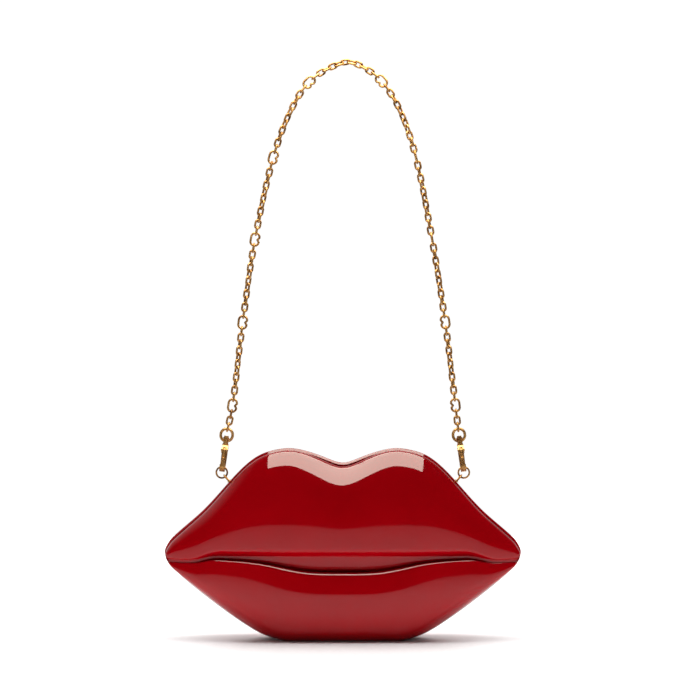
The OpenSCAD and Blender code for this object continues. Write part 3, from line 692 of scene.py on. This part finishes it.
def pick(*objects: Object) -> None:
    """Deselect everything, then select the given objects with the first as the active one."""
    bpy.ops.object.select_all(action="DESELECT")
    for obj in objects:
        obj.select_set(True)
    if objects:
        bpy.context.view_layer.objects.active = objects[0]


def select_where(obj: Object, test: Callable[[Vector], bool]) -> None:
    """Open obj's mesh with those vertices selected that pass a test of their place.

    Args:
        obj: the active object, with its mesh closed.
        test: a function of a vertex's place that says whether it is selected.
    """
    for v in obj.data.vertices:
        v.select = test(v.co)
    bpy.ops.object.mode_set(mode="EDIT")


def close_mesh() -> None:
    """Close the open mesh."""
    bpy.ops.object.mode_set(mode="OBJECT")


def weld(obj: Object, reach: float, outward: bool = False) -> None:
    """Make one vertex of those that lie together.

    Args:
        obj: the object, with its mesh closed.
        reach: the distance within which vertices are one.
        outward: whether the faces are turned to look out as well.
    """
    pick(obj)
    bpy.ops.object.mode_set(mode="EDIT")
    bpy.ops.mesh.select_mode(type="VERT")
    bpy.ops.mesh.select_all(action="SELECT")
    bpy.ops.mesh.remove_doubles(threshold=reach)
    if outward:
        bpy.ops.mesh.normals_make_consistent(inside=False)
    bpy.ops.mesh.select_all(action="DESELECT")
    close_mesh()


def join(*objects: Object) -> Object:
    """Join objects into the first and return it."""
    pick(*objects)
    bpy.ops.object.join()
    return objects[0]


def apply_modifier(obj: Object, kind: str, **settings) -> None:
    """Add a modifier to obj and apply it at once.

    Args:
        obj: the object.
        kind: the modifier's type name.
        settings: its properties.
    """
    pick(obj)
    modifier = obj.modifiers.new(kind.title(), kind)
    for key, value in settings.items():
        setattr(modifier, key, value)
    bpy.ops.object.modifier_apply(modifier=modifier.name)


def add_block(half: tuple[float, float], low: float, high: float) -> Object:
    """Add a block over or under the origin, to cut with.

    Args:
        half: half its width and half its depth.
        low: height of its foot.
        high: height of its top.

    Returns:
        The block.
    """
    pick()
    bpy.ops.mesh.primitive_cube_add(size=1)
    block = bpy.context.object
    for v in block.data.vertices:
        v.co = Vector((v.co.x * 2 * half[0], v.co.y * 2 * half[1],
                       (low + high) / 2 + v.co.z * (high - low)))
    return block


def add_drill(radius: float, reach: float, place: Vector, lean: float = 0.0) -> Object:
    """Add a cylinder, to cut with.

    Args:
        radius: its radius.
        reach: its length.
        place: its middle.
        lean: its turn about Y; with none it stands upright.

    Returns:
        The cylinder.
    """
    pick()
    bpy.ops.mesh.primitive_cylinder_add(vertices=DRILL_SIDES, radius=radius, depth=reach,
                                        location=place, rotation=(0.0, lean, 0.0))
    return bpy.context.object


def carve(obj: Object, tool: Object) -> None:
    """Take the tool's form out of obj and remove the tool."""
    apply_modifier(obj, "BOOLEAN", object=tool, operation="DIFFERENCE", solver="EXACT")
    bpy.data.objects.remove(tool, do_unlink=True)


def shade(obj: Object, degrees: float) -> None:
    """Shade obj smooth, apart from edges sharper than the given angle."""
    pick(obj)
    bpy.ops.object.shade_smooth_by_angle(angle=math.radians(degrees))


def settle(obj: Object, name: str, material: Material, body: str, slot: str, *nodes: str) -> None:
    """Name a finished piece, dress it, tie it to its body and hide the nodes that it stands for.

    Args:
        obj: the piece, untransformed.
        name: its name.
        material: its finish.
        body: the body that it rides on.
        slot: the record's material slot; not used.
        nodes: the CAD nodes that it replaces.
    """
    obj.name = name
    obj.data.name = name
    obj.data.materials.clear()
    obj.data.materials.append(material)
    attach(obj, body)
    if nodes:
        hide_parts(*nodes)
    log.info("%s: %d vertices, %d faces, on %s",
             name, len(obj.data.vertices), len(obj.data.polygons), body)


# ---------------------------------------------------------------- half shells and linings


@dataclass
class LipSkin:
    """A closed tray with the relief of the lips: an outer skin, a rim and an inner skin."""

    form: LipForm
    side: Side
    # bevel of the rim's outer edge: its width and its drop, and both under the base
    bevel: float
    bevel_drop: float
    base_bevel: float = 2.0 * MM
    base_drop: float = 1.3 * MM
    bevel_span: tuple = (0.4, 0.56)
    # where the bevel's middle ring lies, as shares of its drop and width
    bevel_middle: tuple = (0.4, 0.6)
    # where the rings that hold the edge firm lie, and the least drop that the far one allows for
    near_ring: float = 0.3 * MM
    far_ring: float = 1.2 * MM
    least_drop: float = 0.2 * MM
    # depths of the two skins under the outside, and of the rim under the parting plane
    outside: float = 0.0
    inside: float = 3 * MM
    face: float = 0.15 * MM
    # how the grid is spread: its columns crowd to the corners, its rows to each fold
    columns: int = 120
    crowding: float = 1.35
    lower_rows: int = 18
    edge_rows: int = 6
    ledge_stops: tuple = (0.45, 0.9)
    wall_rows: int = 9
    wall_power: float = 1.5
    upper_rows: int = 30
    # how far an inner skin's ledge sinks for each unit of depth
    sink_share: float = 1.2

    def __post_init__(self) -> None:
        """List the stops between the lips, from the lower lip's edge to the crease."""
        self._grow = self.form.grow_of(self.side)
        self._stops = [(MouthPart.EDGE, (k + 1) / self.edge_rows) for k in range(self.edge_rows)]
        self._stops += [(MouthPart.LEDGE, stop) for stop in self.ledge_stops]
        self._stops += [(MouthPart.WALL, (k / self.wall_rows) ** self.wall_power)
                        for k in range(self.wall_rows)]
        # first row of the upper lip, and the last row of all
        self._upper = self.lower_rows + len(self._stops) + 1
        self._last = self._upper + self.upper_rows

    def share(self, i: int) -> float:
        """Signed share of the half width at column i, closer towards the corners."""
        s = 2 * i / self.columns - 1
        return math.copysign(1 - (1 - abs(s)) ** self.crowding, s)

    def relief(self, i: int, j: int, sink: float) -> Vector:
        """Place of grid point i, j as x, depth and height, with the ledge sunk by sink."""
        s, form = self.share(i), self.form
        u, x = abs(s), s * (form.half_w + self._grow)
        if i in (0, self.columns):
            return Vector((x, form.rim_wall - form.rim_round, form.tip * form.height))
        if j <= self.lower_rows:
            c, low = wave(j, self.lower_rows), form.bottom_z(u)
            face = form.turn_z(u, self._grow, sink) - low
            return Vector((x, form.lower_y(u, c, face), low + c * face))
        if j < self._upper:
            stop = self._stops[j - self.lower_rows - 1]
            return Vector((x, *form.mouth(u, self._grow, sink, *stop)))
        a = wave(j - self._upper, self.upper_rows)
        crease, high = form.crease_z(u, self._grow), form.top_z(u, self._grow)
        return Vector((x, form.upper_y(u, a, high - crease), crease + a * (high - crease)))

    def put(self, p: Vector) -> Vector:
        """Turn x, depth and height to a place on this side of the parting plane."""
        return Vector((p.x, self.side.value * p.y, p.z))

    def sheet(self, depth: float, rings: list[tuple[float, float, float, float]]) -> Object:
        """Shape one skin from a grid and draw its border out to the parting plane.

        Args:
            depth: how deep the skin lies under the outside.
            rings: for each ring of the border, its depth and inset, and both under the base.

        Returns:
            The skin as an object.
        """
        pick()
        bpy.ops.mesh.primitive_grid_add(x_subdivisions=self.columns, y_subdivisions=self._last,
                                        size=2)
        obj = bpy.context.object
        places = {}
        for v in obj.data.vertices:
            i = round((v.co.x + 1) / 2 * self.columns)
            j = round((v.co.y + 1) / 2 * self._last)
            point = self.relief(i, j, self.sink_share * depth)
            v.co = self.put(self.form.inset(point, depth))
            if i in (0, self.columns) or j in (0, self._last):
                under = 1 - ease(*self.bevel_span, abs(self.share(i))) if j == 0 else 0.0
                places[self.key(v.co)] = (point, under)
        weld(obj, MERGE)
        for ring_y, ring_w, base_y, base_w in rings:
            select_where(obj, lambda co: self.key(co) in places)
            bpy.ops.mesh.extrude_edges_move()
            close_mesh()
            moved = {}
            for v in obj.data.vertices:
                if v.select:
                    point, under = places[self.key(v.co)]
                    y = ring_y + (base_y - ring_y) * under
                    w = ring_w + (base_w - ring_w) * under
                    spot = self.form.inset(point, depth + w)
                    v.co = self.put(Vector((spot.x, y, spot.z)))
                    moved[self.key(v.co)] = (point, under)
            places = moved
        return obj

    @staticmethod
    def key(co: Vector) -> tuple[int, ...]:
        """A place rounded to a tenth of a micron, to find it again."""
        return tuple(round(c * 1e7) for c in co)

    def build(self) -> Object:
        """Build the tray and return it as one closed, smooth object."""
        face, drop, low = self.face, self.bevel_drop, self.base_drop
        wall = self.inside - self.outside
        down, across = self.bevel_middle
        near, far = self.near_ring, self.far_ring
        outer = self.sheet(self.outside, [
            (face + max(drop, self.least_drop) + far, 0, face + low + far, 0),
            (face + drop + near, 0, face + low + near, 0),
            (face + drop, 0, face + low, 0),
            (face + down * drop, across * self.bevel, face + down * low, across * self.base_bevel),
            (face, self.bevel, face, self.base_bevel),
            (face, wall, face, wall)])
        inner = self.sheet(self.inside, [(face + near, 0, face + near, 0), (face, 0, face, 0)])
        tray = join(outer, inner)
        weld(tray, MERGE, outward=True)
        apply_modifier(tray, "SUBSURF", levels=1, render_levels=1)
        return tray


@dataclass
class HalfShell:
    """One moulded half of the case."""

    form: LipForm
    side: Side
    finish: Material
    # width and drop of the rim's bevel: the back's shows as a band round the front's
    back_bevel: tuple = (1.9 * MM, 1.8 * MM)
    front_bevel: tuple = (0.9 * MM, 0.45 * MM)
    # slot for the hinge, and the holes for its rivets
    slot_half: tuple = (30.5 * MM, 2.1 * MM)
    slot_low: float = -4 * MM
    slot_high: float = 5 * MM
    rivet_hole: float = 1.0 * MM
    rivet_reach: float = 12 * MM
    rivet_y: float = 7.26 * MM
    rivet_pitch: float = 22 * MM
    sharp_degrees: float = 32

    def cutter(self) -> Object:
        """Tool that takes out the hinge's slot and the rivet holes under the base."""
        block = add_block(self.slot_half, self.slot_low, self.slot_high)
        drills = [add_drill(self.rivet_hole, self.rivet_reach,
                            Vector((x, self.side.value * self.rivet_y, 0)))
                  for x in (-self.rivet_pitch, 0, self.rivet_pitch)]
        return join(block, *drills)

    def build(self) -> None:
        """Mould the half shell, cut it for the hinge and dress it."""
        word = self.side.name.lower()
        bevel, drop = self.back_bevel if self.side is Side.BACK else self.front_bevel
        shell = LipSkin(self.form, self.side, bevel, drop).build()
        carve(shell, self.cutter())
        shade(shell, self.sharp_degrees)
        settle(shell, f"{word}_shell_moulding", self.finish, f"{word}_case",
               "red_lacquered_resin", f"{word}_shell")


@dataclass
class SatinTray:
    """The lining of one half: satin on a thin board, pressed to the shell's inside."""

    form: LipForm
    side: Side
    finish: Material
    outside: float = 3.3 * MM
    inside: float = 4.3 * MM
    face: float = 0.95 * MM
    # softening of the board's cut edge
    soft: float = 0.12 * MM
    # opening over the hinge's leaf
    hinge_half: tuple = (31 * MM, 12 * MM)
    hinge_low: float = -1 * MM
    hinge_high: float = 6.9 * MM
    # opening for the magnet's block
    block_half: tuple = (7.3 * MM, 7.3 * MM)
    block_low: float = 119 * MM
    block_high: float = 160 * MM
    # pockets round the lugs' nuts
    pocket_r: float = 3 * MM
    pocket_deep: float = 8 * MM
    lug_lean: float = math.radians(50)
    sharp_degrees: float = 40

    def cut_nut_pockets(self, tray: Object) -> None:
        """Open the tray round the nuts that hold the lugs of the strap."""
        for node in ("lug_nut_left", "lug_nut_right"):
            low, high = (Vector(corner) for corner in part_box(node))
            middle = (low + high) / 2
            lean = math.copysign(math.pi / 2 - self.lug_lean, middle.x)
            carve(tray, add_drill(self.pocket_r, self.pocket_deep, middle, lean))

    def build(self) -> None:
        """Shape the lining, open it for the pieces that stand in it, and dress it."""
        word = self.side.name.lower()
        tray = LipSkin(self.form, self.side, bevel=self.soft, bevel_drop=self.soft,
                       base_bevel=self.soft, base_drop=self.soft, outside=self.outside,
                       inside=self.inside, face=self.face, columns=72, lower_rows=9, edge_rows=2,
                       wall_rows=4, upper_rows=14).build()
        carve(tray, add_block(self.hinge_half, self.hinge_low, self.hinge_high))
        carve(tray, add_block(self.block_half, self.block_low, self.block_high))
        if self.side is Side.BACK:
            self.cut_nut_pockets(tray)
        shade(tray, self.sharp_degrees)
        settle(tray, f"{word}_satin_lining", self.finish, f"{word}_case",
               "satin_lining", f"{word}_lining")


# ---------------------------------------------------------------- the strap


@dataclass
class ChainStrap:
    """The strap's links, plumped by the thickness of their plating and worn round."""

    finish: Material
    plating: float = 0.12 * MM
    runs: int = 11
    merge: float = 0.002 * MM
    sharp_degrees: float = 60

    def plump(self, node: str) -> None:
        """Copy the links of one CAD node, swell their wire and shade it round.

        Args:
            node: the CAD node that the copy stands for.
        """
        links = bpy.data.objects.new(f"worn_{node}", frame["nodes"][node].data.copy())
        bpy.context.scene.collection.objects.link(links)
        weld(links, self.merge)
        apply_modifier(links, "DISPLACE", strength=self.plating, mid_level=0.0)
        shade(links, self.sharp_degrees)
        settle(links, f"worn_{node}", self.finish, "strap", "antique_gilt_brass", node)

    def build(self) -> None:
        """Build every run of links and the notched links between them."""
        for k in range(1, self.runs + 1):
            self.plump(f"chain_run_{k:02d}")
        self.plump("notched_links")


# ---------------------------------------------------------------- studio


class Reach(Enum):
    """Which part of a surface's look a light gives: its body colour or its shine."""

    MATT = "matt"
    GLOSS = "gloss"


@dataclass(frozen=True)
class Lamp:
    """A rectangular light, with its power in watts; with no turn it shines straight down."""

    name: str
    place: tuple[float, float, float]
    size: tuple[float, float]
    power: float
    reach: Reach
    turn: tuple[float, float, float] = (0.0, 0.0, 0.0)
    tint: tuple[float, float, float] = (1.0, 1.0, 1.0)

    def hang(self) -> None:
        """Put the light up."""
        lamp = bpy.data.lights.new(self.name, "AREA")
        lamp.shape = "RECTANGLE"
        lamp.size, lamp.size_y = self.size
        lamp.energy = self.power
        lamp.color = self.tint
        holder = bpy.data.objects.new(self.name, lamp)
        holder.location = self.place
        holder.rotation_euler = self.turn
        holder.visible_diffuse = self.reach is Reach.MATT
        holder.visible_glossy = self.reach is Reach.GLOSS
        bpy.context.scene.collection.objects.link(holder)


@dataclass
class Studio:
    """White paper floor, soft lights over, behind and in front, a dim room and a level camera."""

    floor_front: float = 0.80
    floor_back: float = 0.7
    floor_half_w: float = 1.6
    floor_squares: int = 8
    camera_place: tuple = (2.9 * MM, -1505 * MM, 255 * MM)
    camera_aim: tuple = (2.9 * MM, 0.0, 228.7 * MM)
    lens_mm: float = 100.0
    sensor_mm: float = 36.0
    clip: tuple = (0.01, 50.0)
    lamps: tuple = (
        Lamp("overhead_softbox", (0.055, -0.075, 0.78), (0.71, 0.70), 20.0, Reach.GLOSS,
             turn=(0.0, 0.0, math.radians(-3)), tint=(1.0, 0.94, 0.82)),
        Lamp("overhead_key", (0.0, 0.05, 0.85), (1.7, 0.5), 14.0, Reach.MATT),
        Lamp("low_front_fill", (0.0, -0.4925, 0.001), (1.4, 0.915), 6.3, Reach.MATT,
             turn=(math.pi, 0.0, 0.0)),
        Lamp("back_softbox", (0.0, 1.0, 0.55), (2.0, 0.8), 20.0, Reach.MATT,
             turn=(-math.radians(62), 0.0, 0.0)))
    # how bright the room is to the lens, to matt surfaces, and in reflections, where a backdrop
    # brightens it one way: the span is of the cosine to that way
    lens_glow: float = 1.02
    fill_glow: float = 0.12
    room_glow: float = 0.01
    backdrop_glow: float = 0.7
    backdrop_way: tuple = (-0.45, 0.9, 0.0)
    backdrop_span: tuple = (0.05, 0.9)

    def add_floor(self) -> None:
        """Lay the paper the case stands on."""
        pick()
        bpy.ops.mesh.primitive_grid_add(x_subdivisions=self.floor_squares,
                                        y_subdivisions=self.floor_squares, size=2)
        floor = bpy.context.object
        for v in floor.data.vertices:
            deep = self.floor_back if v.co.y > 0 else self.floor_front
            v.co = Vector((v.co.x * self.floor_half_w, v.co.y * deep, 0.0))
        floor.name = "paper_floor"
        floor.data.materials.append(PaperSweep().build())

    def add_world(self) -> None:
        """A room that is white to the lens, soft to matt surfaces and dim in reflections."""
        world = bpy.data.worlds.new("studio_room")
        world.use_nodes = True
        tree = world.node_tree
        tree.nodes.clear()
        path = add_node(tree, "ShaderNodeLightPath")
        way = add_node(tree, "ShaderNodeTexCoord").outputs["Generated"]
        cosine = add_node(tree, "ShaderNodeVectorMath", {0: way, 1: self.backdrop_way},
                          operation="DOT_PRODUCT")
        glow = add_range(tree, cosine.outputs["Value"], self.backdrop_span,
                         (self.room_glow, self.backdrop_glow), interpolation_type="SMOOTHSTEP")
        glossy, matt, lens = [
            add_node(tree, "ShaderNodeBackground",
                     {"Color": (1, 1, 1, 1), "Strength": strength}).outputs[0]
            for strength in (glow, self.fill_glow, self.lens_glow)]
        soft = add_node(tree, "ShaderNodeMixShader",
                        {0: path.outputs["Is Diffuse Ray"], 1: glossy, 2: matt})
        seen = add_node(tree, "ShaderNodeMixShader",
                        {0: path.outputs["Is Camera Ray"], 1: soft.outputs[0], 2: lens})
        add_node(tree, "ShaderNodeOutputWorld", {"Surface": seen.outputs[0]})
        bpy.context.scene.world = world

    def add_camera(self) -> None:
        """Set the camera level with the strap, a little over the case."""
        data = bpy.data.cameras.new("camera")
        data.lens = self.lens_mm
        data.sensor_width = self.sensor_mm
        data.clip_start, data.clip_end = self.clip
        data.dof.use_dof = False
        camera = bpy.data.objects.new("camera", data)
        camera.location = self.camera_place
        aim = Vector(self.camera_aim) - Vector(self.camera_place)
        camera.rotation_euler = aim.to_track_quat("-Z", "Y").to_euler()
        bpy.context.scene.collection.objects.link(camera)
        bpy.context.scene.camera = camera

    def build(self) -> None:
        """Put up the whole studio."""
        bpy.context.scene.view_settings.view_transform = "Standard"
        self.add_camera()
        self.add_world()
        self.add_floor()
        for lamp in self.lamps:
            lamp.hang()
        log.info("studio: camera, floor and %d lights are up", len(self.lamps))


# ---------------------------------------------------------------- the whole bag


@dataclass
class Clutch:
    """The bag: its finishes, the pieces made here and the CAD pieces that only need a finish."""

    form: LipForm = field(default_factory=LipForm)
    finishes: dict = field(default_factory=dict)

    def mix_finishes(self) -> None:
        """Make each finish once, under the record's slot name."""
        self.finishes = {
            "red_lacquered_resin": RedAcrylic().build(),
            "antique_gilt_brass": AntiqueGilt().build(),
            "gilt_brass_hinge": BrushedMetal(
                "brushed_gilt_brass", light="#c79a58", dark="#8b6430", roughness=0.3).build(),
            "nickelled_steel": BrushedMetal(
                "nickelled_steel", light="#cfccc6", dark="#8f8d88", roughness=0.28).build(),
            "satin_lining": SatinLining().build(),
        }

    def dress_cad(self) -> None:
        """Give every CAD piece the finish of its slot."""
        slots = {part["node"]: part["material_slot"] for part in frame["record"]["subparts"]}
        for node, piece in frame["nodes"].items():
            for place in piece.material_slots:
                place.material = self.finishes[slots[node]]
        log.info("dressed %d CAD pieces", len(slots))

    def build(self) -> None:
        """Build the bag in the order in which it is put together."""
        self.mix_finishes()
        self.dress_cad()
        for side in (Side.BACK, Side.FRONT):
            HalfShell(self.form, side, self.finishes["red_lacquered_resin"]).build()
            SatinTray(self.form, side, self.finishes["satin_lining"]).build()
        ChainStrap(self.finishes["antique_gilt_brass"]).build()


def main() -> None:
    """Put up the studio and build the bag."""
    Studio().build()
    Clutch().build()


if __name__ == "__main__":
    main()
